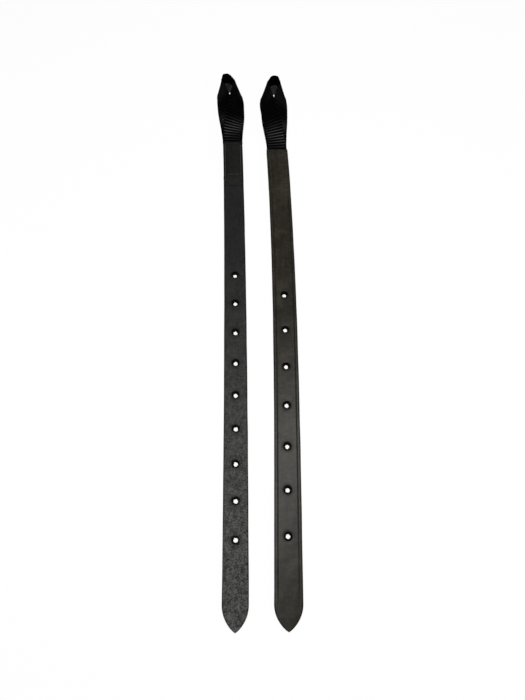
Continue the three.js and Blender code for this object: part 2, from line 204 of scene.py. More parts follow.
# The loop's route, station by station from the mouth to the turn, in shares of reach and bulge
REACH_SHARES = [0, 0.05, 0.2, 0.4, 0.6, 0.72, 0.82, 0.9, 0.965, 1]
UPPER_BULGE_SHARES = [0, 0, 0.14, 0.46, 0.87, 1.07, 1.21, 1.33, 0.76, 0]
LOWER_BULGE_SHARES = [0, 0, 0.1, 0.28, 0.55, 0.77, 0.9, 1.04, 0.6, 0]
UPPER_TILT_DEGREES = [0, 0, 5, 17, 43, 51, 59, 72, 86, 111]
LOWER_TILT_DEGREES = [0, 0, 0, 6, 28, 48, 59, 72, 86, 111]
LIFT_SHARES = [1.21, 1.5, 2.5, 3.3, 3.0, 2.0, 0.7, 0.1, 0, 0]
RIDE_SHARES = [1, 0.97, 0.55, 0.1, 0, 0, 0, 0, 0, 0]
# Where a loop is pinched nearly shut, both legs lean in further.
PINCH_SHARES = [0, 0, 0, 0, 0, 1, 1, 0, 0, 0]

TAPE_STACK = 2 * TAPE_THICK
SEWN_HEIGHT = SKIVED_THICK + TAPE_STACK + PATCH_THICK

# The camera stands over the tips' end and looks down along the straps, measured from the left mouth.
CAMERA_FROM_LEFT_MOUTH = (33.8 * MM, -436.5 * MM, 473 * MM)
CAMERA_TILT_DEGREES = 21.58
CAMERA_LENS = 27.05

# The pale cove round the object
COVE_RADIUS = 6.0
COVE_BEND = 1.0
COVE_TOP = 4.0
FLOOR_DROP = 0.1 * MM


class Strap:
    """One strap's own sizes, with its mouth and length read from the frame. side mirrors the loop,
    tip_to_hole runs from the tip to the nearest hole, reach and bulge are the loop's length and its
    half width, lean is how far its turn lies to one side, and the sways bend the centre line."""

    def __init__(self, name, **sizes):
        self.name = name
        self.__dict__.update(sizes)
        self.mouth = np.array(JOINTS[f"{name}_loop_fold"]["pos_m"])
        self.length = self.mouth[1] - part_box(f"{name}_strap_leather")[0].y
        self.half = self.width / 2
        self.hole_places = [self.tip_to_hole - self.length + n * self.pitch for n in range(self.holes)]
        self.tape_base = SKIVED_THICK if self.patch_on_top else PATCH_THICK

    def sway(self, along):
        """Centre line: a cubic Bezier curve in the sway shares, run on straight past the mouth."""
        a, b, c, d = self.sway_shares
        t = np.minimum(-along / self.length, 1)
        u = 1 - t
        curve = u * u * u * a + 3 * u * u * t * b + 3 * u * t * t * c + t * t * t * d
        return np.where(t < 0, 3 * (b - a) * t, curve) * self.tip_sway

    def place(self, local):
        """Local points (across, along, height) set along the centre line, in the row frame."""
        points = np.array(local, float)
        points[..., 0] += self.mouth[0] + self.sway(local[..., 1])
        points[..., 1] += self.mouth[1]
        return points


LEFT = Strap(
    "left", side=1, patch_on_top=True, leather_slot="flesh_side_leather",
    width=22 * MM, holes=9, pitch=31.75 * MM, tip_to_hole=69.3 * MM, stitch_inset=2.5 * MM,
    tip_sway=12.1 * MM, sway_shares=(0, 0.556, 0.809, 1),
    tape_width=22.5 * MM, reach=85 * MM, bulge=9 * MM, lean=-4.9 * MM, pinch_degrees=0,
)
RIGHT = Strap(
    "right", side=-1, patch_on_top=False, leather_slot="grain_side_leather",
    width=23.7 * MM, holes=7, pitch=38.1 * MM, tip_to_hole=71.6 * MM, stitch_inset=3.4 * MM,
    tip_sway=4.8 * MM, sway_shares=(0, 1.77, 1.315, 1),
    tape_width=22.5 * MM, reach=92 * MM, bulge=9 * MM, lean=3.0 * MM, pinch_degrees=3.5,
)


# Small formulas

def ease(share):
    """Smooth step from 0 to 1."""
    inside = np.clip(share, 0, 1)
    return inside * inside * (3 - 2 * inside)


def bell(distance, half):
    """A flat-topped bell, 1 at no distance and near 0 past one and a half times half."""
    return np.exp(-((np.abs(distance) / half) ** 3))


def signed_power(value, power):
    """The value's size to a power, with the value's own sign."""
    return np.sign(value) * np.abs(value) ** power


def ripple(x, y, size, seed):
    """Soft unevenness between -1 and 1: a mean of sine waves in many directions, about size apart."""
    draw = np.random.default_rng(seed)
    total = np.zeros(np.broadcast(x, y).shape)
    waves = 14
    for _ in range(waves):
        turn = draw.uniform(0, np.pi)
        length = size * draw.uniform(0.7, 1.8)
        phase = draw.uniform(0, 2 * np.pi)
        total += np.sin(2 * np.pi * (x * np.cos(turn) + y * np.sin(turn)) / length + phase)
    return total / np.sqrt(waves) / 1.5


# Meshes from grids

def grid_faces(rows, columns, wrap):
    """Quads over a grid of points; wrap joins the last column to the first."""
    row = np.arange(rows - 1)[:, None] * columns
    column = np.arange(columns if wrap else columns - 1)
    after = (column + 1) % columns
    quads = np.stack([row + column, row + after, row + after + columns, row + column + columns], -1)
    return quads.reshape(-1, 4)


def end_caps(rows, count):
    """The first and the last ring of a grid, as one face each."""
    return [np.arange(count), np.arange((rows - 1) * count, rows * count)]


def make_piece(name, parts, material):
    """One object from parts of (points, quads, caps, marks): points n by 3, quads n by 4, caps a list
    of longer faces, and marks the named values of each point. Points that meet are merged."""
    points = np.concatenate([part[0] for part in parts])
    starts = np.cumsum([0] + [len(part[0]) for part in parts])
    faces = []
    for start, part in zip(starts, parts):
        faces += (part[1] + start).tolist() + [(cap + start).tolist() for cap in part[2]]
    mesh = bpy.data.meshes.new(name)
    mesh.from_pydata(points.tolist(), [], faces)
    for key in parts[0][3]:
        values = np.concatenate([part[3][key] for part in parts])
        vector = values.ndim == 2
        attribute = mesh.attributes.new(key, "FLOAT_VECTOR" if vector else "FLOAT", "POINT")
        attribute.data.foreach_set("vector" if vector else "value", values.astype(np.float32).ravel())
    work = bmesh.new()
    work.from_mesh(mesh)
    bmesh.ops.remove_doubles(work, verts=work.verts, dist=MERGE_DISTANCE)
    bmesh.ops.recalc_face_normals(work, faces=work.faces)
    work.to_mesh(mesh)
    work.free()
    mesh.shade_smooth()
    mesh.set_sharp_from_angle(angle=np.radians(SHARP_DEGREES))
    mesh.materials.append(material)
    piece = bpy.data.objects.new(name, mesh)
    bpy.context.scene.collection.objects.link(piece)
    return piece


def finish_piece(piece, nodes, body):
    """Hides the nodes that a piece stands in for, and gives it the body that it moves with."""
    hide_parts(*nodes)
    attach(piece, body)


# Leather

def places(start, end, step):
    """Even places from start to end, no further apart than step."""
    return np.linspace(start, end, max(1, int(np.ceil(abs(end - start) / step))) + 1)


def across_places(half):
    """Places across one face, from the middle out: the hole's cell, then fine steps over the grooves."""
    cell = places(0, HOLE_CELL, HOLE_CELL_STEP)
    mid = places(HOLE_CELL, half - EDGE_BAND, FACE_STEP)
    fine = places(half - EDGE_BAND, half - EDGE_DOME, EDGE_BAND_STEP)
    right = np.unique(np.round(np.concatenate([cell, mid, fine]), 9))
    return np.concatenate([-right[:0:-1], right])


def hole_distance(strap, across, along):
    """Distance to the middle of the nearest buckle hole."""
    return np.min([np.hypot(across, along - place) for place in strap.hole_places], axis=0)


def needle_dents(along):
    """1 at each needle hole of a stitch row and 0 between."""
    phase = (-along - STITCH_START) / STITCH_PITCH
    return bell(phase - np.round(phase), NEEDLE_HALF_SHARE) * (phase > -0.5)


def stitch_relief(strap, across, along):
    """Depth of the two stitch grooves of the sewn end: a bell across each, deeper at each needle."""
    stitched = ease((along + SEWN_LENGTH - PATCH_SKIVE / 2) / MM)
    off_row = np.abs(np.abs(across) - (strap.half - strap.stitch_inset))
    return stitched * bell(off_row, GROOVE_HALF) * (GROOVE_DEEP + NEEDLE_DEEP * needle_dents(along))


def leather_heights(strap, along):
    """Underside and upper side of the main leather. It is skived beside the tape and eases to its
    full thickness past the tape's end. The right one lies on the tape and eases down to the floor."""
    thick = SKIVED_THICK + (LEATHER_THICK - SKIVED_THICK) * ease((-along - TAIL_LENGTH) / THICKEN_LENGTH)
    if strap.patch_on_top:
        return np.zeros_like(along), thick
    top = SEWN_HEIGHT + (LEATHER_THICK - SEWN_HEIGHT) * ease((-along - TAIL_LENGTH) / RAMP_LENGTH)
    return top - thick, top


def patch_heights(strap, along):
    """Underside and upper side of the backing patch. It lies on the tape, or under it. Within TUCK of
    the tape's end its inner face closes on the leather, and it is skived thin where it ends. The
    top one's upper side is straight from place to place, softened by a mean over its neighbours."""
    skive = SEWN_LENGTH - PATCH_SKIVE
    tucked = ease((-along - TAIL_LENGTH) / TUCK + 1)
    if not strap.patch_on_top:
        thick = np.interp(along, [-SEWN_LENGTH, -skive, 0], [PATCH_END_THICK, PATCH_THICK, PATCH_THICK])
        drawn = ease((-along - TAIL_LENGTH) / (SEWN_LENGTH - TAIL_LENGTH))
        rise = leather_heights(strap, along)[0] - PATCH_THICK
        return PATCH_THICK + rise * drawn - thick, PATCH_THICK + rise * tucked
    over = SKIVED_THICK + TAPE_STACK
    low = over + (leather_heights(strap, along)[1] - over) * tucked
    spread = np.linspace(-1, 1, 9)[:, None] * PATCH_SOFTENING
    crown = [-SEWN_LENGTH, -TAIL_LENGTH, -TAIL_LENGTH / 3]
    tops = [LEATHER_THICK + PATCH_END_THICK, over + 1.5 * PATCH_END_THICK, SEWN_HEIGHT]
    high = np.interp(along[None, :] + spread, crown, tops).mean(0)
    return low, np.maximum(high, low + PATCH_END_THICK)


def leather_piece(name, strap, along, heights, relief, holes, grain_up, material):
    """A flat leather strip: a ring of top, domed edge, underside and domed edge is carried along the
    centre line. relief(across, along) gives the depth pressed into the top and into the underside.
    At each hole the middle of both faces gives way to rings that close in on the punched wall."""
    columns = across_places(strap.half)
    share = point_share(strap, along)
    waves = [ripple(along, 0 * along, WANDER_LENGTH, seed) for seed in (21, 22)]
    wander = EDGE_WANDER * np.stack(waves, -1)
    low, high = heights(strap, along)
    a = columns[None, :] * share[:, None]
    a = a + np.where(a > 0, wander[:, :1], wander[:, 1:]) * (np.abs(a) / strap.half) ** 5
    y = np.repeat(along[:, None], len(columns), 1)
    pressed_top, pressed_under = relief(a, y)
    flat_share = np.abs(columns)[None, :] / columns[-1]
    top = high[:, None] - pressed_top - CROWN * flat_share**4
    under = low[:, None] + pressed_under
    turn = np.linspace(np.pi / 2, -np.pi / 2, DOME_STEPS + 2)[1:-1][None, :]
    dome = np.minimum(EDGE_DOME, (high - low) / 2)[:, None] * np.minimum(share, 1)[:, None]
    middle = (top[:, -1:] + under[:, -1:]) / 2
    rise = (top[:, -1:] - under[:, -1:]) / 2
    round_out = dome * np.cos(turn) ** DOME_POWER
    side_z = middle + rise * signed_power(np.sin(turn), DOME_POWER)
    side_y = np.repeat(along[:, None], DOME_STEPS, 1)
    ring_a = np.concatenate([a, a[:, -1:] + round_out, a[:, ::-1], a[:, :1] - round_out[:, ::-1]], 1)
    ring_y = np.concatenate([y, side_y, y, side_y], 1)
    ring_z = np.concatenate([top, side_z, under[:, ::-1], side_z[:, ::-1]], 1)
    local = np.stack([ring_a, ring_y, ring_z], -1)
    rows, count = local.shape[:2]
    faces = grid_faces(rows, count, True)
    parts = []
    width = len(columns)
    inner = [int(np.argmin(np.abs(columns - edge))) for edge in (-HOLE_CELL, HOLE_CELL)]
    under_start = width + DOME_STEPS
    for place in holes:
        first, last = [int(np.argmin(np.abs(along - place - edge))) for edge in (HOLE_CELL, -HOLE_CELL)]
        face_row = faces[:, 0] // count
        face_column = faces[:, 0] % count
        on_top = (face_column >= inner[0]) & (face_column < inner[1])
        under_column = face_column - under_start
        on_under = (under_column >= width - 1 - inner[1]) & (under_column < width - 1 - inner[0])
        faces = faces[~((face_row >= first) & (face_row < last) & (on_top | on_under))]
        rings = hole_rings(local, place, first, last, inner, under_start, width)
        quads = grid_faces(rings.shape[0], rings.shape[1], True)
        parts.append(leather_part(strap, rings.reshape(-1, 3), quads, [], grain_up))
    parts.append(leather_part(strap, local.reshape(-1, 3), faces, end_caps(rows, count), grain_up))
    return make_piece(name, parts, material)


def hole_rings(local, place, first, last, inner, under_start, width):
    """Rings of one punched hole, from the square cell's border on top to the same below. The top
    dips into a dish, rolls over a quarter circle into the wall, and the wall closes in smoothly by
    HOLE_CLOSING on its way down, frayed more and more by soft unevenness."""
    def cell_border(lowest, highest):
        """The points round the cell between two columns."""
        step = 1 if highest > lowest else -1
        columns = np.arange(lowest, highest, step)
        rows = np.arange(first, last)
        return np.concatenate([
            local[first, columns], local[rows, highest],
            local[last, columns[::-1] + step], local[rows[::-1] + 1, lowest],
        ])

    above = cell_border(inner[0], inner[1])
    below = cell_border(under_start + width - 1 - inner[0], under_start + width - 1 - inner[1])
    bearing = np.arctan2(above[:, 1] - place, above[:, 0])
    high = above[:, 2].mean()
    low = below[:, 2].mean()

    def ring(radius, height):
        """A level circle about the hole, with a point for each point of the border."""
        flat = [radius * np.cos(bearing), place + radius * np.sin(bearing)]
        return np.column_stack([*flat, np.full(len(bearing), height)])

    def toward(border, circle, share, height):
        """A ring that lies a share of the way from a border to a circle, dished on top."""
        flat = border[:, :2] * (1 - share) + circle[:, :2] * share
        reach = np.hypot(flat[:, 0], flat[:, 1] - place) - HOLE_RADIUS
        dip = DISH_DEPTH * np.exp(-((reach / DISH_REACH) ** 2)) * (border is above)
        return np.column_stack([flat, height - dip])

    rim = ring(HOLE_RADIUS + RIM_ROUND, high)
    rings = [above] + [toward(above, rim, share, high) for share in (0.3, 0.6, 0.82, 1)]
    rim_top = rings[-1][:, 2].mean()
    for angle in np.linspace(0, np.pi / 2, 5)[1:]:
        drop = RIM_ROUND * (1 - np.cos(angle))
        rings.append(ring(HOLE_RADIUS + RIM_ROUND * (1 - np.sin(angle)), rim_top - drop))
    wall_top = rim_top - RIM_ROUND
    # The unevenness is read at three times the hole's place, so that no two holes fray alike.
    wall_x = HOLE_RADIUS * np.cos(bearing)
    wall_y = place * 3 + HOLE_RADIUS * np.sin(bearing)
    for share in np.linspace(0, 1, 8)[1:]:
        fray = HOLE_FRAY * share * ripple(wall_x, wall_y + share * MM, FRAY_SIZE, 8)
        radius = HOLE_RADIUS - HOLE_CLOSING * ease(share) + fray
        rings.append(ring(radius, wall_top + share * (low - wall_top)))
    foot = rings[-1]
    rings += [toward(below, foot, share, low) for share in (0.7, 0.35)] + [below]
    return np.array(rings)


def leather_part(strap, local, quads, caps, grain_up):
    """Points in the row frame, with what the finish reads: the place on the hide, how near a cut
    edge, how near a hole's rim, how deep in a hole's raw wall, how far pressed into a line, and how
    much of the flesh side shows."""
    across, along, height = local[:, 0], local[:, 1], local[:, 2]
    half = strap.half * point_share(strap, along)
    low, high = leather_heights(strap, along)
    from_rim = hole_distance(strap, across, along) - HOLE_RADIUS
    edge = np.maximum(ease(1 - (half - np.abs(across)) / BURNISH_WIDTH), ease(1 + along / MM))
    # A hole's rim is darkened: burnish close to the wall, and painted shade out to the wider reach.
    rim = 0.7 * ease(1 - from_rim / BURNISH_WIDTH) + 0.3 * ease(1 - from_rim / RIM_SHADE_WIDTH)
    raw = (from_rim < RAW_WALL_MARGIN) * ease((high - RIM_ROUND - height) / RAW_WALL_FADE)
    upper = ease((height - low) / np.maximum(high - low, MM) * 4 - 2.4)
    crease = crease_line(strap, across, along)
    sewn = stitch_relief(strap, across, along) / (GROOVE_DEEP + NEEDLE_DEEP)
    pressed = crease * upper * grain_up + sewn
    flesh = 1 - upper if grain_up else upper
    marks = {"lie": local, "edge": edge, "rim": rim, "raw": raw, "pressed": pressed, "flesh": flesh}
    return strap.place(local), quads, caps, marks


def point_share(strap, along):
    """Share of the full width: 1 down to the point, then (1 - r squared) to the power of fullness."""
    rest = 1 - np.clip((strap.length + along) / POINT_LENGTH, 0, 1)
    return np.maximum((1 - rest * rest) ** POINT_FULLNESS, TIP_BLUNT_SHARE)


def crease_line(strap, across, along):
    """How strongly the crease lines are pressed: a bell across each, faded out on the point and
    before the sewn end."""
    line = bell(np.abs(across) - (strap.half - CREASE_INSET), CREASE_HALF)
    from_tip = ease((along + strap.length - POINT_LENGTH * 0.6) / POINT_LENGTH)
    return line * (from_tip * (1 - ease((along + SEWN_LENGTH + CREASE_STOP) / CREASE_FADE)))


def falling(rows):
    """The rows joined and sorted from the mouth to the tip, each place once."""
    return -np.unique(np.round(-np.concatenate(rows), 9))


def main_leather(strap, material):
    """The punched strap. Its rows are close over the sewn end and the holes, and on the point they
    follow the sine of an even turn."""
    start = -SEWN_LENGTH - SEWN_STEPS_PAST
    rows = [places(0, start, SEWN_STEP)]
    for spot in sorted(strap.hole_places, reverse=True):
        rows.append(places(start, spot + HOLE_CELL, PLAIN_STEP))
        rows.append(places(spot + HOLE_CELL, spot - HOLE_CELL, HOLE_CELL_STEP))
        start = spot - HOLE_CELL
    point = POINT_LENGTH - strap.length
    rows.append(places(start, point, PLAIN_STEP))
    bend = np.linspace(0, np.pi / 2, POINT_ROWS)
    rows.append(point - POINT_LENGTH * np.sin(bend))

    def relief(across, y):
        """Soft unevenness away from holes and edges, a dish round each hole, creases and grooves."""
        crease = CREASE_DEPTH * crease_line(strap, across, y)
        from_hole = hole_distance(strap, across, y)
        dish = DISH_DEPTH * np.exp(-(((from_hole - HOLE_RADIUS) / DISH_REACH) ** 2))
        sewn = stitch_relief(strap, across, y)
        uneven = STRAP_UNEVENNESS * (1 + ripple(across, y, STRAP_WAVE_LENGTH, 3 + strap.holes))
        level = 1 - (np.abs(across) / strap.half) ** 6
        flat = (from_hole > HOLE_CELL) * level
        if strap.patch_on_top:
            return uneven * flat + dish, sewn
        return uneven * flat + dish + crease + sewn, np.zeros_like(y)

    return leather_piece(
        f"{strap.name}_leather", strap, falling(rows), leather_heights, relief, strap.hole_places,
        not strap.patch_on_top, material,
    )


def backing_patch(strap, material):
    """The short patch over the sewn end, on top of the left strap and under the right one."""
    along = falling([places(0, -SEWN_LENGTH, SEWN_STEP)])

    def relief(across, y):
        """The stitch grooves, with soft unevenness on a patch that lies on top."""
        sewn = stitch_relief(strap, across, y)
        none = np.zeros_like(y)
        level = 1 - (np.abs(across) / strap.half) ** 6
        uneven = PATCH_UNEVENNESS * (1 + ripple(across, y, PATCH_WAVE_LENGTH, 40)) * level
        return (sewn + uneven, none) if strap.patch_on_top else (none, sewn)

    return leather_piece(
        f"{strap.name}_patch", strap, along, patch_heights, relief, [], strap.patch_on_top, material,
    )


# Webbing

def rounded(shares, stations):
    """A centripetal Catmull-Rom curve through the rows of stations, at each share of its route."""
    stations = np.array(stations, float)
    ends = [2 * stations[0] - stations[1], 2 * stations[-1] - stations[-2]]
    padded = np.vstack([ends[0], stations, ends[1]])
    spot = np.clip(shares, 0, 1) * (len(stations) - 1)
    first = np.minimum(spot.astype(int), len(stations) - 2)
    w = (spot - first)[:, None]
    p0, p1, p2, p3 = [padded[first + n] for n in range(4)]

    def gap(a, b):
        """Root of the distance between stations, which keeps the curve from overshooting."""
        return np.linalg.norm(b - a, axis=1)[:, None] ** 0.5

    d0, d1, d2 = gap(p0, p1), gap(p1, p2), gap(p2, p3)
    # Stations that meet would divide by nothing, so such a gap takes its neighbour's.
    least = 1e-4
    d1 = np.where(d1 < least, 1.0, d1)
    d0 = np.where(d0 < least, d1, d0)
    d2 = np.where(d2 < least, d1, d2)
    t1 = ((p1 - p0) / d0 - (p2 - p0) / (d0 + d1) + (p2 - p1) / d1) * d1
    t2 = ((p2 - p1) / d1 - (p3 - p1) / (d1 + d2) + (p3 - p2) / d2) * d1
    return p1 + t1 * w + (3 * (p2 - p1) - 2 * t1 - t2) * w**2 + (2 * (p1 - p2) + t1 + t2) * w**3


class Route:
    """The tape's whole way: in along the upper tail, round the loop and back along the lower tail.
    At each step it holds the centre, the direction across towards the raised edge, the direction out
    of the outer face and the length run so far, all before the strap's mirror, sway and lean."""

    def __init__(self, strap):
        self.strap = strap
        turn = len(REACH_SHARES) - 1
        order = list(range(turn + 1)) + list(range(turn - 1, -1, -1))
        upper = np.arange(len(order)) <= turn
        scale = 1 / MM
        reach = (strap.reach - MOUTH_GAP) * scale
        bulges = [(UPPER_BULGE_SHARES if top else LOWER_BULGE_SHARES)[i] for i, top in zip(order, upper)]
        x = np.array(bulges) * np.where(upper, 1, -1)
        y = [MOUTH_GAP * scale + REACH_SHARES[i] * reach for i in order]
        tilt = [
            (UPPER_TILT_DEGREES if top else LOWER_TILT_DEGREES)[i] - PINCH_SHARES[i] * strap.pinch_degrees
            for i, top in zip(order, upper)
        ]
        lift = [
            (LIFT_SHARES[i] * TAPE_THICK * top + RIDE_SHARES[i] * strap.tape_base) * scale
            for i, top in zip(order, upper)
        ]
        shares = np.linspace(0, 1, ROUTE_STEPS)
        # Stations are held in millimetres, as the source holds them, so that its guards act alike.
        path = rounded(shares, np.column_stack([x * strap.bulge * scale, y, np.zeros(len(x))]))
        setting = rounded(shares, np.column_stack([tilt, lift, np.zeros(len(x))]))
        heading = np.gradient(path, axis=0)
        heading /= np.linalg.norm(heading, axis=1)[:, None]
        lean = np.radians(setting[:, 0])
        half = strap.tape_width / 2
        under = np.abs(np.sin(lean)) * half + np.abs(np.cos(lean)) * TAPE_THICK / 2
        height = FLOOR_GAP + under + setting[:, 1] * MM
        loop = np.column_stack([path[:, 0] * MM, path[:, 1] * MM, height])
        inward = np.column_stack([-heading[:, 1], heading[:, 0], np.zeros(ROUTE_STEPS)])
        up = np.array([0, 0, 1.0])
        across = inward * np.cos(lean)[:, None] + up * np.sin(lean)[:, None]
        out = -inward * np.sin(lean)[:, None] + up * np.cos(lean)[:, None]
        tail = places(-TAIL_LENGTH + MOUTH_GAP, 0, SEWN_STEP)
        flat = np.zeros(len(tail))
        upper_tail = np.column_stack([flat, tail, flat + strap.tape_base + 1.5 * TAPE_THICK])
        lower_tail = np.column_stack([flat, tail, flat + strap.tape_base + 0.5 * TAPE_THICK])[::-1]
        tail_out = np.tile(up, (len(tail), 1))
        left = np.tile([-1.0, 0, 0], (len(tail), 1))
        centre = np.vstack([upper_tail, loop, lower_tail])
        across = np.vstack([left, across, -left])
        out = np.vstack([tail_out, out, tail_out])
        # Both tails lie just outside the loop's shares, from 0 to 1.
        share = np.concatenate([np.full(len(tail), -0.01), shares, np.full(len(tail), 1.01)])
        run = np.concatenate([[0], np.cumsum(np.linalg.norm(np.diff(centre, axis=0), axis=1))])
        self.length = run[-1]
        even = np.linspace(0, self.length, ROUTE_TABLE_STEPS)
        table = np.column_stack([centre, across, out, share])
        table = np.column_stack([np.interp(even, run, column) for column in table.T])
        self.even = even
        self.table = smooth_rows(table, int(ROUTE_SOFTENING / (even[1] - even[0])))

    def at(self, run):
        """Centre, across and out at lengths along the tape."""
        values = np.column_stack([np.interp(run, self.even, column) for column in self.table.T])
        centre, across, out = values[:, 0:3], values[:, 3:6], values[:, 6:9]
        across = across / np.linalg.norm(across, axis=1)[:, None]
        out = out - across * np.sum(out * across, axis=1)[:, None]
        return centre, across, out / np.linalg.norm(out, axis=1)[:, None]

    def run_of_share(self, share):
        """Length along the tape at a share of the loop's own route."""
        return float(np.interp(share, self.table[:, 9], self.even))

    def place(self, run, across, out):
        """Points at distances across and out from the tape's middle, in the row frame."""
        centre, side, face = self.at(run)
        points = centre[:, None] + side[:, None] * across[..., None] + face[:, None] * out[..., None]
        strap = self.strap
        along = points[..., 1].copy()
        reached = np.maximum(along - MOUTH_GAP, 0) / strap.reach
        shift = strap.sway(along) + strap.lean * reached**2 + strap.mouth[0]
        points[..., 0] = strap.side * points[..., 0] + shift
        points[..., 1] += strap.mouth[1]
        return points


def smooth_rows(table, half):
    """Each row becomes the mean of its neighbours under a bell, with the ends held."""
    reach = np.arange(-3 * half, 3 * half + 1)
    weights = np.exp(-0.5 * (reach / half) ** 2)
    weights /= weights.sum()
    padded = np.pad(table, ((3 * half, 3 * half), (0, 0)), mode="edge")
    return np.column_stack([np.convolve(column, weights, mode="valid") for column in padded.T])


def flat_ring(half, flat, selvedge, crowding):
    """Ring round a flat strip with round selvedges, as distances across and out from its middle.
    Places on a face are even steps from -1 to 1, to the power of crowding."""
    columns = signed_power(np.linspace(-1, 1, FACE_COLUMNS), crowding) * (half - selvedge)
    turn = np.linspace(np.pi / 2, -np.pi / 2, 7)[1:-1]
    bulge = selvedge * np.cos(turn)
    fall = flat * np.sin(turn)
    face = np.full(FACE_COLUMNS, flat)
    across = np.concatenate([columns, columns[-1] + bulge, columns[::-1], columns[0] - bulge])
    return across, np.concatenate([face, fall, -face, -fall])


def strip_piece(name, route, run, across, out, marks, material):
    """A strip along the route: a ring at distances across and out for each length run."""
    rows, count = across.shape
    lie = np.stack([across, np.repeat(run[:, None], count, 1), out], -1)
    values = {"lie": lie.reshape(-1, 3)}
    values.update({key: mark.ravel() for key, mark in marks.items()})
    points = route.place(run, across, out).reshape(-1, 3)
    part = (points, grid_faces(rows, count, True), end_caps(rows, count), values)
    return make_piece(name, [part], material)


def webbing_tape(strap, route, material):
    """The whole tape: a flat ring with round selvedges, carried along the route. Between the ribs
    that lie across it its two faces are drawn in, by a cosine wave along the tape that fades toward
    the selvedges."""
    ribs = int(round(route.length / RIB_PITCH))
    run = np.linspace(0, route.length, ribs * RIB_STEPS + 1)
    half = strap.tape_width / 2
    flat = TAPE_THICK / 2
    ring_across, ring_out = flat_ring(half, flat, SELVEDGE, 0.9)
    from_middle = np.abs(ring_across)[None, :] / half
    in_rib = 0.5 - 0.5 * np.cos(2 * np.pi * run * ribs / route.length)[:, None]
    drawn = 1 - (RIB_DEPTH / flat) * in_rib * (1 - 0.72 * from_middle**10)
    wide = 1 - SELVEDGE_DRAW_SHARE * in_rib * from_middle**8
    tail = np.minimum(strap.tape_width, strap.width - TAIL_INSET) / strap.tape_width
    outside = ease((route.at(run)[0][:, 1] + WIDENING_BEFORE_MOUTH) / WIDENING_LENGTH)
    across = ring_across[None, :] * wide * (tail + (1 - tail) * outside)[:, None]
    out = ring_out[None, :] * drawn
    valley = np.repeat(in_rib, len(ring_across), 1)
    marks = {"valley": valley, "polish": handled(route, run, ring_across / half)}
    return strip_piece(f"{strap.name}_webbing", route, run, across, out, marks, material)


def handled(route, run, toward_raised):
    """How polished by the hand each point of the tape is: a bell over its distance from the mouth,
    nearer on the raised edge than on the outer one, and stronger and further out on the lower leg,
    with a band before the turn that rises and falls smoothly."""
    upper = (run < route.length / 2)[:, None]
    from_mouth = route.at(run)[0][:, 1][:, None]
    middle = np.where(upper, UPPER_BAND_AT, LOWER_BAND_AT) - BAND_SLANT * toward_raised[None, :]
    band = np.exp(-(((from_mouth - middle) / BAND_HALF) ** 2)) * np.where(upper, 1.0, LOWER_BAND_STRENGTH)
    rising = ease((from_mouth - TURN_BAND_START) / TURN_BAND_RISE)
    falling_off = ease((TURN_BAND_END - from_mouth) / TURN_BAND_FALL)
    return band + TURN_BAND_STRENGTH * rising * falling_off


def loop_liner(strap, route, material):
    """The liner in the turn: a thin leather strip that follows the tape's inner face near its lower
    edge, thinned at both ends."""
    run = liner_run(route, 0)
    half = LINER_WIDTH / 2
    flat = LINER_THICK / 2
    ring_across, ring_out = flat_ring(half, flat, LINER_ROUND, 1)
    to_end = np.minimum(run - run[0], run[-1] - run)[:, None]
    thin = LINER_END_SHARE + (1 - LINER_END_SHARE) * ease(to_end / LINER_TAPER)
    groove = bell(np.abs(ring_across) - (half - LINER_STITCH_INSET), LINER_GROOVE_HALF)
    pressed = LINER_GROOVE_DEEP * groove * (ring_out < 0)
    across = np.repeat((ring_across + liner_across(strap))[None, :], len(run), 0)
    out = liner_out() + flat + (ring_out[None, :] - flat) * thin + pressed
    edge = ease(1 - (half - np.abs(across - liner_across(strap))) / MM)
    none = np.zeros(across.shape)
    marks = {"edge": edge, "rim": none, "raw": none, "pressed": none, "flesh": none + LINER_FLESH_SHARE}
    return strip_piece(f"{strap.name}_liner", route, run, across, out, marks, material)


def liner_run(route, inset):
    """Lengths along the tape that the liner covers, less an inset at both ends."""
    stations = 2 * (len(REACH_SHARES) - 1)
    ends = [0.5 - LINER_HALF_STATIONS / stations, 0.5 + LINER_HALF_STATIONS / stations]
    first, last = [route.run_of_share(end) for end in ends]
    return places(first + inset, last - inset, LINER_STEP)


def liner_across(strap):
    """Middle of the liner's width, across from the tape's middle."""
    return LINER_EDGE + (LINER_WIDTH - strap.tape_width) / 2


def liner_out():
    """Middle of the liner's thickness, out from the tape's middle."""
    return -(TAPE_THICK + LINER_THICK) / 2 - LINER_GAP


# Sewing thread

def thread_row(name, path, sides, outs, place, material):
    """One row of stitches: a flattened round two-ply thread carried along path. The radius follows
    a cosine wave with two crests round the thread, which turns as the plies do. sides and outs are
    the directions across the row and off the face, and place is where each point lies on the piece."""
    angle = np.linspace(0, 2 * np.pi, THREAD_SIDES, endpoint=False)[None, :]
    run = np.concatenate([[0], np.cumsum(np.linalg.norm(np.diff(path, axis=0), axis=1))])[:, None]
    twist = 2 * np.pi * run / TWIST_LENGTH
    radius = THREAD_RADIUS * (0.88 + 0.12 * np.cos(2 * (angle - twist)))
    side = radius * np.cos(angle)
    rise = radius * np.sin(angle) * THREAD_FLATNESS
    points = path[:, None] + sides[:, None] * side[..., None] + outs[:, None] * rise[..., None]
    rows = len(path)
    along = np.repeat(place[:, None], THREAD_SIDES, 1)
    lie = np.stack([along, np.repeat(run, THREAD_SIDES, 1), np.repeat(angle, rows, 0)], -1)
    faces = grid_faces(rows, THREAD_SIDES, True)
    part = (points.reshape(-1, 3), faces, end_caps(rows, THREAD_SIDES), {"lie": lie.reshape(-1, 3)})
    return make_piece(name, [part], material)


def stitch_height(phase, heights):
    """Height of the thread over its face: the first of heights along a stitch, and smoothly down to
    the second at each needle hole."""
    high, low = heights
    within = np.abs(phase - np.round(phase)) * 2
    return low + (high - low) * ease(within / 0.42)


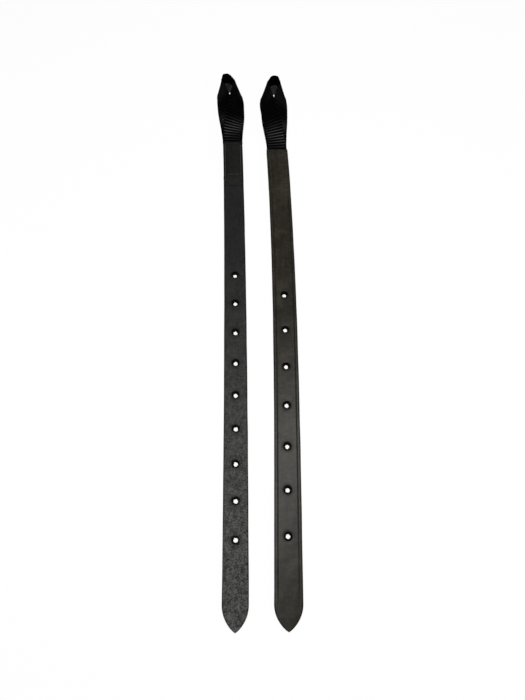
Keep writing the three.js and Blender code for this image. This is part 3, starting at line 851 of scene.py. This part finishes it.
def side_rows(strap, material):
    """The four rows of the sewn end: two on the upper face and two on the underside."""
    count = int((SEWN_LENGTH - PATCH_SKIVE / 2 - STITCH_START) / STITCH_PITCH)
    phase = np.linspace(0, count, count * STITCH_STEPS + 1)
    along = -STITCH_START - phase * STITCH_PITCH
    for face, up, heights in (("top", 1, TOP_STITCH_HEIGHTS), ("bottom", -1, UNDER_STITCH_HEIGHTS)):
        for edge in (-1, 1):
            row = "inner" if edge * strap.side > 0 else "outer"
            name = f"{strap.name}_{face}_{row}"
            slant = STITCH_WANDER * np.sin(2 * np.pi * phase)
            across = edge * (strap.half - strap.stitch_inset) + slant
            height = face_height(strap, along, up) + up * stitch_height(phase, heights)
            path = strap.place(np.column_stack([across, along, height]))
            outs = np.tile([0, 0, float(up)], (len(along), 1))
            sides = np.tile([float(up), 0, 0], (len(along), 1))
            piece = thread_row(f"{name}_stitches", path, sides, outs, along, material)
            finish_piece(piece, [f"{name}_thread"], "straps")


def face_height(strap, along, up):
    """Height of the sewn end's upper face, or of its underside."""
    if up < 0:
        return leather_heights(strap, along)[0] if strap.patch_on_top else patch_heights(strap, along)[0]
    heights = patch_heights if strap.patch_on_top else leather_heights
    return heights(strap, along)[1]


def cross_row(strap, material):
    """The wavy row across the patch, just before its skived end. It runs to and fro along the strap
    in even slants, one for each stitch."""
    phase = np.linspace(0, CROSS_STITCHES, CROSS_STITCHES * STITCH_STEPS + 1)
    wave = np.abs(phase % 2 - 1) - 0.5
    along = -SEWN_LENGTH + PATCH_SKIVE + CROSS_INSET + wave * CROSS_WAVE
    across = (strap.width - 4 * strap.stitch_inset) * (0.5 - phase / CROSS_STITCHES)
    height = face_height(strap, along, 1) + stitch_height(phase, CROSS_STITCH_HEIGHTS)
    path = strap.place(np.column_stack([across, along, height]))
    heading = np.gradient(path, axis=0)
    outs = np.tile([0.0, 0, 1], (len(along), 1))
    sides = np.cross(outs, heading)
    sides /= np.linalg.norm(sides, axis=1)[:, None]
    piece = thread_row(f"{strap.name}_cross_stitches", path, sides, outs, across, material)
    finish_piece(piece, [f"{strap.name}_cross_thread"], "straps")


def liner_rows(strap, route, material):
    """The two rows of stitches on the liner's inner face."""
    span = liner_run(route, LINER_STITCH_START)
    count = int(round((span[-1] - span[0]) / LINER_STITCH_PITCH))
    phase = np.linspace(0, count, count * LINER_STITCH_STEPS + 1)
    run = span[0] + (span[-1] - span[0]) * phase / count
    out = (liner_out() - LINER_THICK / 2 - stitch_height(phase, LINER_STITCH_HEIGHTS))[:, None]
    for row, edge in (("lower", -1), ("upper", 1)):
        off = liner_across(strap) + edge * (LINER_WIDTH / 2 - LINER_STITCH_INSET)
        across = np.full((len(run), 1), off)
        path = route.place(run, across, out)[:, 0]
        outs = path - route.place(run, across, out + MM)[:, 0]
        sides = route.place(run, across + MM, out)[:, 0] - path
        outs /= np.linalg.norm(outs, axis=1)[:, None]
        sides /= np.linalg.norm(sides, axis=1)[:, None]
        piece = thread_row(f"{strap.name}_liner_{row}_stitches", path, sides, outs, run, material)
        finish_piece(piece, [f"{strap.name}_liner_{row}_thread"], f"{strap.name}_loop")


# Finishes

def linear(red, green, blue):
    """A colour given as it looks on screen, 0 to 255, in the renderer's linear values."""
    shares = np.array([red, green, blue]) / 255
    low = shares / 12.92
    high = ((shares + 0.055) / 1.055) ** 2.4
    return tuple(np.where(shares <= 0.04045, low, high)) + (1.0,)


class Value:
    """A number socket of a material. Its operators add Math nodes, also with a number on the left."""

    def __init__(self, finish, socket):
        self.finish = finish
        self.socket = socket

    def math(self, operation, *others):
        """The value of a Math node fed with this value and the others."""
        inputs = dict(enumerate([self, *others]))
        node = self.finish.node("ShaderNodeMath", {"operation": operation}, inputs)
        return Value(self.finish, node.outputs[0])

    def __add__(self, other):
        return self.math("ADD", other)

    def __sub__(self, other):
        return self.math("SUBTRACT", other)

    def __rsub__(self, other):
        return (self * -1) + other

    def __mul__(self, other):
        return self.math("MULTIPLY", other)

    def __pow__(self, other):
        return self.math("POWER", other)

    __radd__ = __add__
    __rmul__ = __mul__

    def sine(self):
        """Sine of the value, as an angle in radians."""
        return self.math("SINE")

    def size(self):
        """The value without its sign."""
        return self.math("ABSOLUTE")

    def between(self, low, high):
        """0 below low, 1 above high, smooth between."""
        settings = {"interpolation_type": "SMOOTHSTEP"}
        node = self.finish.node("ShaderNodeMapRange", settings, {0: self, 1: low, 2: high})
        return Value(self.finish, node.outputs[0])


class Finish:
    """A material under construction, with its Principled shader. constants are set on its sockets."""

    def __init__(self, name, **constants):
        self.material = bpy.data.materials.new(name)
        self.material.use_nodes = True
        self.tree = self.material.node_tree
        self.shader = self.tree.nodes["Principled BSDF"]
        for socket, value in constants.items():
            self.shader.inputs[socket.replace("_", " ")].default_value = value

    def node(self, kind, settings=None, inputs=None):
        """Adds a node: its settings first, then the values or links of its sockets."""
        made = self.tree.nodes.new(kind)
        for key, value in (settings or {}).items():
            setattr(made, key, value)
        for key, value in (inputs or {}).items():
            self.feed(made.inputs[key], value)
        return made

    def feed(self, socket, value):
        """Links a value or an output to a socket, or sets the socket to a constant."""
        if isinstance(value, Value):
            self.tree.links.new(value.socket, socket)
        elif isinstance(value, bpy.types.NodeSocket):
            self.tree.links.new(value, socket)
        else:
            socket.default_value = value

    def value(self, node, output=0):
        """A node's output, as a number for sums."""
        return Value(self, node.outputs[output])

    def mark(self, name):
        """One of the piece's own marks, as a number."""
        return self.value(self.node("ShaderNodeAttribute", {"attribute_name": name}), "Fac")

    def lie(self):
        """The place on the flat piece before it was laid out: across, along, and the third value."""
        vector = self.node("ShaderNodeAttribute", {"attribute_name": "lie"}).outputs["Vector"]
        parts = self.node("ShaderNodeSeparateXYZ", None, {0: vector})
        return [self.value(parts, n) for n in range(3)]

    def vector(self, x, y, z):
        """A vector of three values."""
        return self.node("ShaderNodeCombineXYZ", None, {0: x, 1: y, 2: z}).outputs[0]

    def noise(self, vector, size, detail=3.0, roughness=0.5):
        """Noise whose blotches are about size across."""
        inputs = {"Vector": vector, "Scale": 1 / size, "Detail": detail, "Roughness": roughness}
        return self.value(self.node("ShaderNodeTexNoise", None, inputs))

    def pores(self, vector, size):
        """Distance from the nearest pore centre, in shares of the pores' spacing."""
        inputs = {"Vector": vector, "Scale": 1 / size}
        return self.value(self.node("ShaderNodeTexVoronoi", {"feature": "SMOOTH_F1"}, inputs))

    def mix(self, share, low, high):
        """A colour between low and high."""
        node = self.node("ShaderNodeMix", {"data_type": "RGBA"}, {0: share, 6: low, 7: high})
        return node.outputs[2]

    def bump(self, height):
        """The normal of a surface raised by height, in millimetres."""
        inputs = {"Height": height, "Distance": MM, "Strength": 1.0}
        return self.node("ShaderNodeBump", None, inputs).outputs[0]

    def wear(self, colour, roughness, normal, gloss):
        """Connects the finish to the shader and gives the material. gloss is the weight of the clear
        coat, which carries the shine, so that edges and valleys stay dull and dark."""
        self.feed(self.shader.inputs["Base Color"], colour)
        self.feed(self.shader.inputs["Roughness"], roughness)
        self.feed(self.shader.inputs["Normal"], normal)
        self.feed(self.shader.inputs["Coat Weight"], gloss)
        return self.material


def hide_leather(name, grain_dark, grain_light, flesh_dark, flesh_light, painted_tip_light, shine, haze):
    """Dyed strap leather. The grain side is smooth with fine pores and long faint streaks, the flesh
    side has a short mottled nap, and cut edges are dark with burnish. Hole rims are dark with burnish
    near the wall and with painted shade further round, and crease lines and stitch grooves are
    darkened as painted shade. fade is how much painted light makes both sides lighter towards the
    tip, shine how strong the polish is and haze how blurred."""
    finish = Finish(name, Specular_IOR_Level=0.03, Coat_Roughness=haze)
    across, along, height = finish.lie()
    place = finish.vector(across, along, height)
    stretched = finish.vector(across, along * 0.12, height)
    edge, rim, flesh = finish.mark("edge"), finish.mark("rim"), finish.mark("flesh")
    raw, pressed = finish.mark("raw"), finish.mark("pressed")
    # Painted light: both sides are painted lighter towards the tip.
    tip_light = (along * -1).between(TIP_LIGHT_START, TIP_LIGHT_END) * painted_tip_light
    cloud = finish.noise(place, CLOUD_SIZE, 2.0)
    streak = finish.noise(stretched, STREAK_SIZE)
    wrinkle = finish.noise(finish.vector(across * 0.5, along, height), WRINKLE_SIZE, 3.0, 0.6)
    grain_mix = (cloud * 1.2 + streak * 0.7 + wrinkle * 0.8 - 1.0 + tip_light * 0.7).between(0.0, 1.1)
    grain = finish.mix(grain_mix, grain_dark, grain_light)
    nap = finish.noise(place, NAP_SIZE, 5.0, 0.68)
    tuft = finish.noise(finish.vector(across, along * 0.55, height), TUFT_SIZE, 3.0, 0.55)
    # The nap's mottling grows stronger with the painted light towards the tip.
    lively = tip_light * tip_light * 2.3 + 0.3
    mottled = ((nap - 0.5) * 2.6 + (tuft - 0.5)) * lively + tip_light * 0.7 + cloud * 0.3 - 0.17
    nap_colour = finish.mix(mottled.between(-0.3, 1.7), flesh_dark, flesh_light)
    body = finish.mix(flesh, grain, nap_colour)
    # Cut edges darken with burnish; crease lines and stitch grooves darken as painted shade.
    edge_burnish_and_groove_shade = edge * 0.75 + pressed * 0.7
    burnished_and_groove_shaded = finish.mix(edge_burnish_and_groove_shade.between(0.0, 1.0), body, linear(9, 8, 8))
    # Hole rims: darker with burnish near the wall and with painted shade further round.
    rim_burnished_and_shaded = finish.mix(rim * 0.85, burnished_and_groove_shaded, linear(7, 6, 6))
    fibre = finish.mix(nap.between(0.4, 0.75), linear(6, 5, 4), linear(46, 34, 25))
    colour = finish.mix(raw * 0.8, rim_burnished_and_shaded, fibre)
    pores = finish.pores(place, PORE_SPACING)
    grain_roughness = 0.3 + cloud * 0.16 + streak * 0.1
    flesh_roughness = 0.52 + nap * 0.14
    dull = edge * 0.3 + rim * 0.4 + raw * 0.4 + pressed * 0.2
    roughness = grain_roughness * (1 - flesh) + flesh_roughness * flesh + dull
    skin = (pores * 0.05 + wrinkle * 0.14) * (1 - flesh)
    fuzz = (nap * 0.16 + tuft * 0.1) * flesh
    smooth_edge = 1 - edge * 0.8
    normal = finish.bump((skin + fuzz) * smooth_edge)
    gloss = (1 - edge) * (1 - rim) * (0.8 + wrinkle * 0.4) * shine
    return finish.wear(colour, roughness, normal, gloss)


def webbing_finish():
    """Black ribbed webbing. Fine yarns run lengthwise over each rib, and the valleys are painted darker
    as shade. The shine lies on the flanks of the ribs, between crest and valley, where hands have
    polished them."""
    finish = Finish("ribbed_webbing", Specular_IOR_Level=0.0, Coat_Roughness=0.28)
    across, along, out = finish.lie()
    valley, polish = finish.mark("valley"), finish.mark("polish")
    yarn = (across * (np.pi / YARN_PITCH)).sine().size()
    weft = (along * (2 * np.pi / (RIB_PITCH / 2)) + across * (np.pi / (2 * YARN_PITCH))).sine()
    cloud = finish.noise(finish.vector(across, along, out), WEBBING_CLOUD_SIZE, 2.0)
    fibre = finish.noise(finish.vector(across * 3, along, out), YARN_FIBRE_SIZE, 2.0)
    # Painted shade: the valleys between the ribs are darkened.
    shade = (1 - valley * 0.9) * (0.55 + yarn * 0.35) + cloud * 0.3 - 0.15
    colour = finish.mix(shade.between(0.0, 1.0), linear(0, 0, 0), linear(9, 9, 10))
    roughness = 0.5 + valley * 0.3 + fibre * 0.12
    normal = finish.bump(yarn * 0.03 + weft * 0.008 + fibre * 0.02)
    flank = valley * (1 - valley) * 4
    gloss = flank**3 * (0.4 + yarn * 0.6) * (polish * 0.22 + 0.05)
    return finish.wear(colour, roughness, normal, gloss)


def thread_finish():
    """Waxed black thread, its two plies as slanting lines. The plies are painted lighter than black as a
    painted highlight.
    """
    finish = Finish("waxed_thread", Specular_IOR_Level=0.05, Coat_Roughness=0.4)
    first, run, angle = finish.lie()
    ply = (angle - run * (2 * np.pi / TWIST_LENGTH)).sine().size()
    fibre = finish.noise(finish.vector(first, run, angle * MM), THREAD_FIBRE_SIZE, 2.0)
    # Painted highlight: the thread is painted lighter along its plies.
    shade = (ply * 0.7 + fibre * 0.5 - 0.1).between(0.0, 1.0)
    colour = finish.mix(shade, linear(16, 15, 14), linear(76, 74, 70))
    roughness = 0.42 + fibre * 0.2
    normal = finish.bump(ply * 0.1 + fibre * 0.06)
    return finish.wear(colour, roughness, normal, 0.3 * ply)


# The stage

def pale_cove():
    """A white floor that curves up into a low round wall. Its profile runs flat to COVE_RADIUS, up a
    quarter circle and on to the top, and is turned about the middle. It keeps a soft shadow."""
    bend = np.linspace(0, np.pi / 2, 9)
    flat = [0.25 * COVE_RADIUS, 0.5 * COVE_RADIUS, 0.9 * COVE_RADIUS]
    out = np.concatenate([flat, COVE_RADIUS + COVE_BEND * np.sin(bend), [COVE_RADIUS + COVE_BEND]])
    up = np.concatenate([np.zeros(3), COVE_BEND * (1 - np.cos(bend)), [COVE_TOP]]) - FLOOR_DROP
    turn = np.linspace(0, 2 * np.pi, 96, endpoint=False)
    points = np.stack([
        out[:, None] * np.cos(turn), out[:, None] * np.sin(turn), np.repeat(up[:, None], len(turn), 1),
    ], -1)
    mesh = bpy.data.meshes.new("cove")
    faces = grid_faces(len(out), len(turn), True)[:, ::-1].tolist() + [list(range(len(turn)))]
    mesh.from_pydata(points.reshape(-1, 3).tolist(), [], faces)
    mesh.shade_smooth()
    floor = bpy.data.objects.new("cove", mesh)
    bpy.context.scene.collection.objects.link(floor)
    finish = Finish("floor_white")
    tree = finish.tree
    tree.nodes.remove(finish.shader)
    diffuse = finish.node("ShaderNodeBsdfDiffuse", None, {0: (0.94, 0.94, 0.94, 1)})
    white = finish.node("ShaderNodeEmission", None, {0: (1, 1, 1, 1), 1: 1.0})
    rays = finish.node("ShaderNodeLightPath")
    seen = finish.value(rays, "Is Camera Ray") + finish.value(rays, "Is Transmission Ray")
    share = (seen + finish.value(rays, "Is Glossy Ray")) * 0.9
    both = finish.node("ShaderNodeMixShader", None, {0: share, 1: diffuse.outputs[0], 2: white.outputs[0]})
    tree.links.new(both.outputs[0], tree.nodes["Material Output"].inputs[0])
    mesh.materials.append(finish.material)


def soft_lamp(name, place, target, wide, deep, power):
    """A rectangular lamp at a place in metres, turned to a target, with its power in watts."""
    data = bpy.data.lights.new(name, "AREA")
    data.shape = "RECTANGLE"
    data.size = wide
    data.size_y = deep
    data.energy = power
    lamp = bpy.data.objects.new(name, data)
    bpy.context.scene.collection.objects.link(lamp)
    lamp.location = place
    aim = np.array(target) - np.array(place)
    lamp.rotation_euler = Vector(aim).to_track_quat("-Z", "Y").to_euler()


def studio():
    """A plain dim world and two large soft lamps, one overhead and one low at the side."""
    world = bpy.data.worlds.new("studio")
    bpy.context.scene.world = world
    world.use_nodes = True
    tree = world.node_tree
    fill = tree.nodes["Background"]
    fill.inputs[0].default_value = (0.96, 0.98, 1.0, 1)
    fill.inputs[1].default_value = 0.14
    soft_lamp("overhead", (-0.05, -0.02, 1.3), (0, -0.1, 0), wide=0.9, deep=0.4, power=16)
    soft_lamp("side", (1.1, -0.5, 0.8), (0, 0, 0), wide=0.8, deep=0.6, power=4)


def set_camera():
    """The camera stands where the photograph was taken from, as measured from the left mouth."""
    data = bpy.data.cameras.new("camera")
    data.lens = CAMERA_LENS
    data.clip_start = 0.01
    viewer = bpy.data.objects.new("camera", data)
    bpy.context.scene.collection.objects.link(viewer)
    floor_mouth = LEFT.mouth * np.array([1, 1, 0])
    viewer.location = floor_mouth + np.array(CAMERA_FROM_LEFT_MOUTH)
    viewer.rotation_euler = (np.radians(CAMERA_TILT_DEGREES), 0, 0)
    bpy.context.scene.camera = viewer


# Putting it together

set_camera()
studio()
pale_cove()
bpy.context.scene.view_settings.view_transform = "Standard"

flesh_up = hide_leather(
    "flesh_up_leather", grain_dark=linear(14, 14, 13), grain_light=linear(30, 29, 27),
    flesh_dark=linear(22, 22, 22), flesh_light=linear(88, 88, 86), painted_tip_light=0.9, shine=0.07, haze=0.45,
)
grain_up = hide_leather(
    "grain_up_leather", grain_dark=linear(32, 29, 23), grain_light=linear(56, 52, 45),
    flesh_dark=linear(18, 17, 14), flesh_light=linear(46, 42, 36), painted_tip_light=0.0, shine=0.15, haze=0.3,
)
patch_leather = hide_leather(
    "patch_leather", grain_dark=linear(14, 14, 12), grain_light=linear(27, 27, 23),
    flesh_dark=linear(20, 19, 18), flesh_light=linear(46, 44, 40), painted_tip_light=0.0, shine=0.28, haze=0.4,
)
liner_leather = hide_leather(
    "liner_leather", grain_dark=linear(30, 30, 27), grain_light=linear(60, 59, 54),
    flesh_dark=linear(34, 33, 30), flesh_light=linear(66, 64, 58), painted_tip_light=0.0, shine=0.3, haze=0.4,
)
webbing = webbing_finish()
thread = thread_finish()

for strap, leather in ((LEFT, flesh_up), (RIGHT, grain_up)):
    name = strap.name
    finish_piece(main_leather(strap, leather), [f"{name}_strap_leather"], "straps")
    finish_piece(backing_patch(strap, patch_leather), [f"{name}_backing_patch"], "straps")
    side_rows(strap, thread)
    if strap.patch_on_top:
        cross_row(strap, thread)
    route = Route(strap)
    tape = webbing_tape(strap, route, webbing)
    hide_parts(f"{name}_webbing_loop", f"{name}_webbing_lower_tail", f"{name}_webbing_upper_tail")
    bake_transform(tape)
    liner = loop_liner(strap, route, liner_leather)
    finish_piece(liner, [f"{name}_loop_liner"], f"{name}_loop")
    liner_rows(strap, route, thread)
